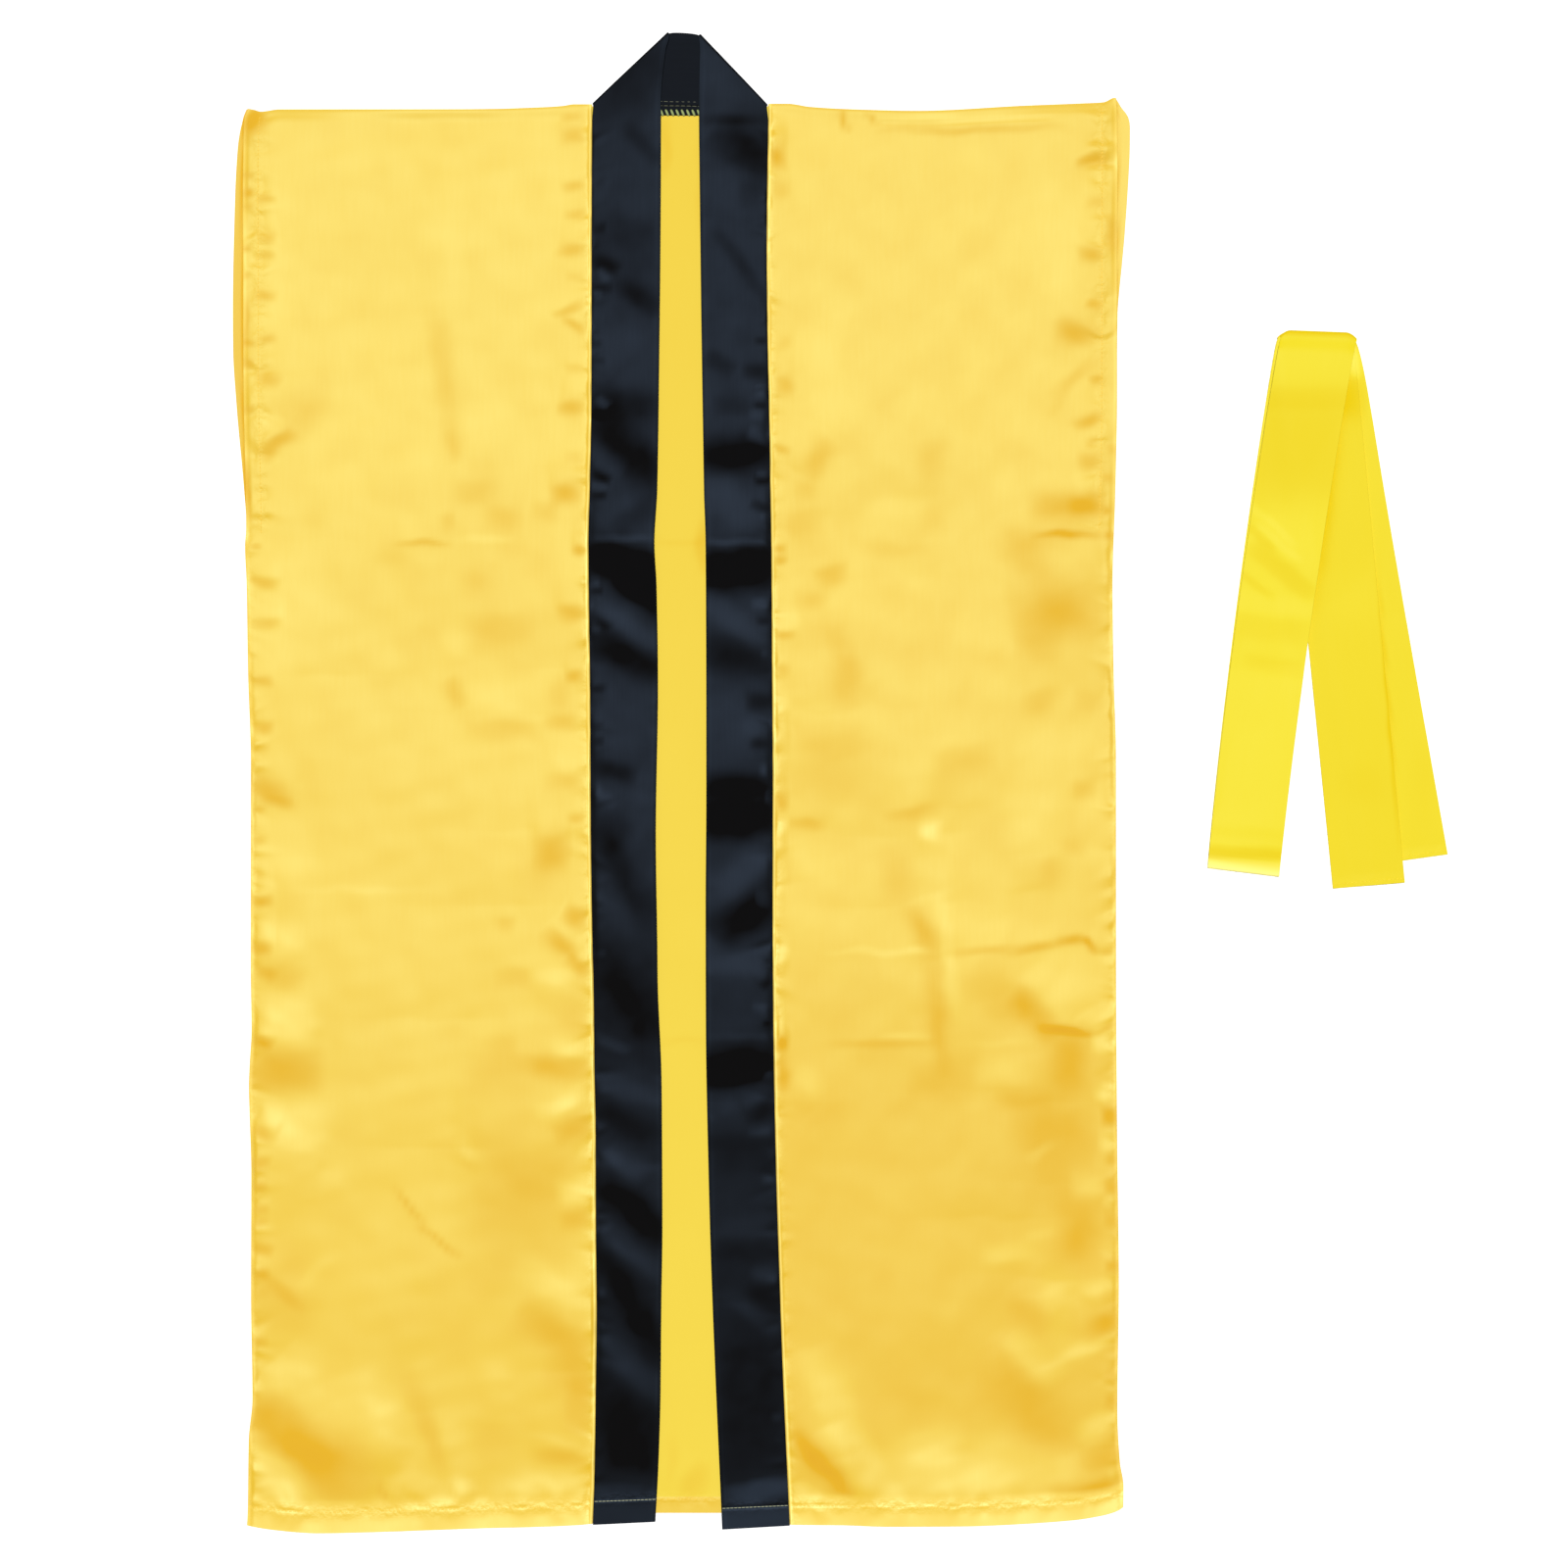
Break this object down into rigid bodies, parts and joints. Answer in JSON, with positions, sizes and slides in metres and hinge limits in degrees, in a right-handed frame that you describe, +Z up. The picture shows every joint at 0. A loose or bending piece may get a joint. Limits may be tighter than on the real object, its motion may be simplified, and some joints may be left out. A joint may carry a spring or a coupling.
{
  "type": "happi coat",
  "caption": "Sleeveless long happi coat of golden satin with a black collar band, laid flat with its front up, and its own folded lemon yellow belt beside it.",
  "frame": {"origin": "on the surface that the coat lies on, under its centre line and halfway down its body", "axes": "+X towards the wearer's left, +Y up the body to the neck, +Z up from the surface"},
  "size_m": [0.855, 1.0557, 0.0055],
  "materials": {
    "golden_satin": "golden yellow polyester satin, bright side out",
    "black_satin": "black polyester satin with a navy sheen",
    "lemon_satin": "lemon yellow polyester satin"
  },
  "bodies": {
    "root": {"back_panel": "golden_satin", "right_front": "golden_satin", "left_front": "golden_satin", "collar_band": "black_satin", "neck_seam_allowance": "black_satin", "belt": "lemon_satin"}
  },
  "joints": []
}
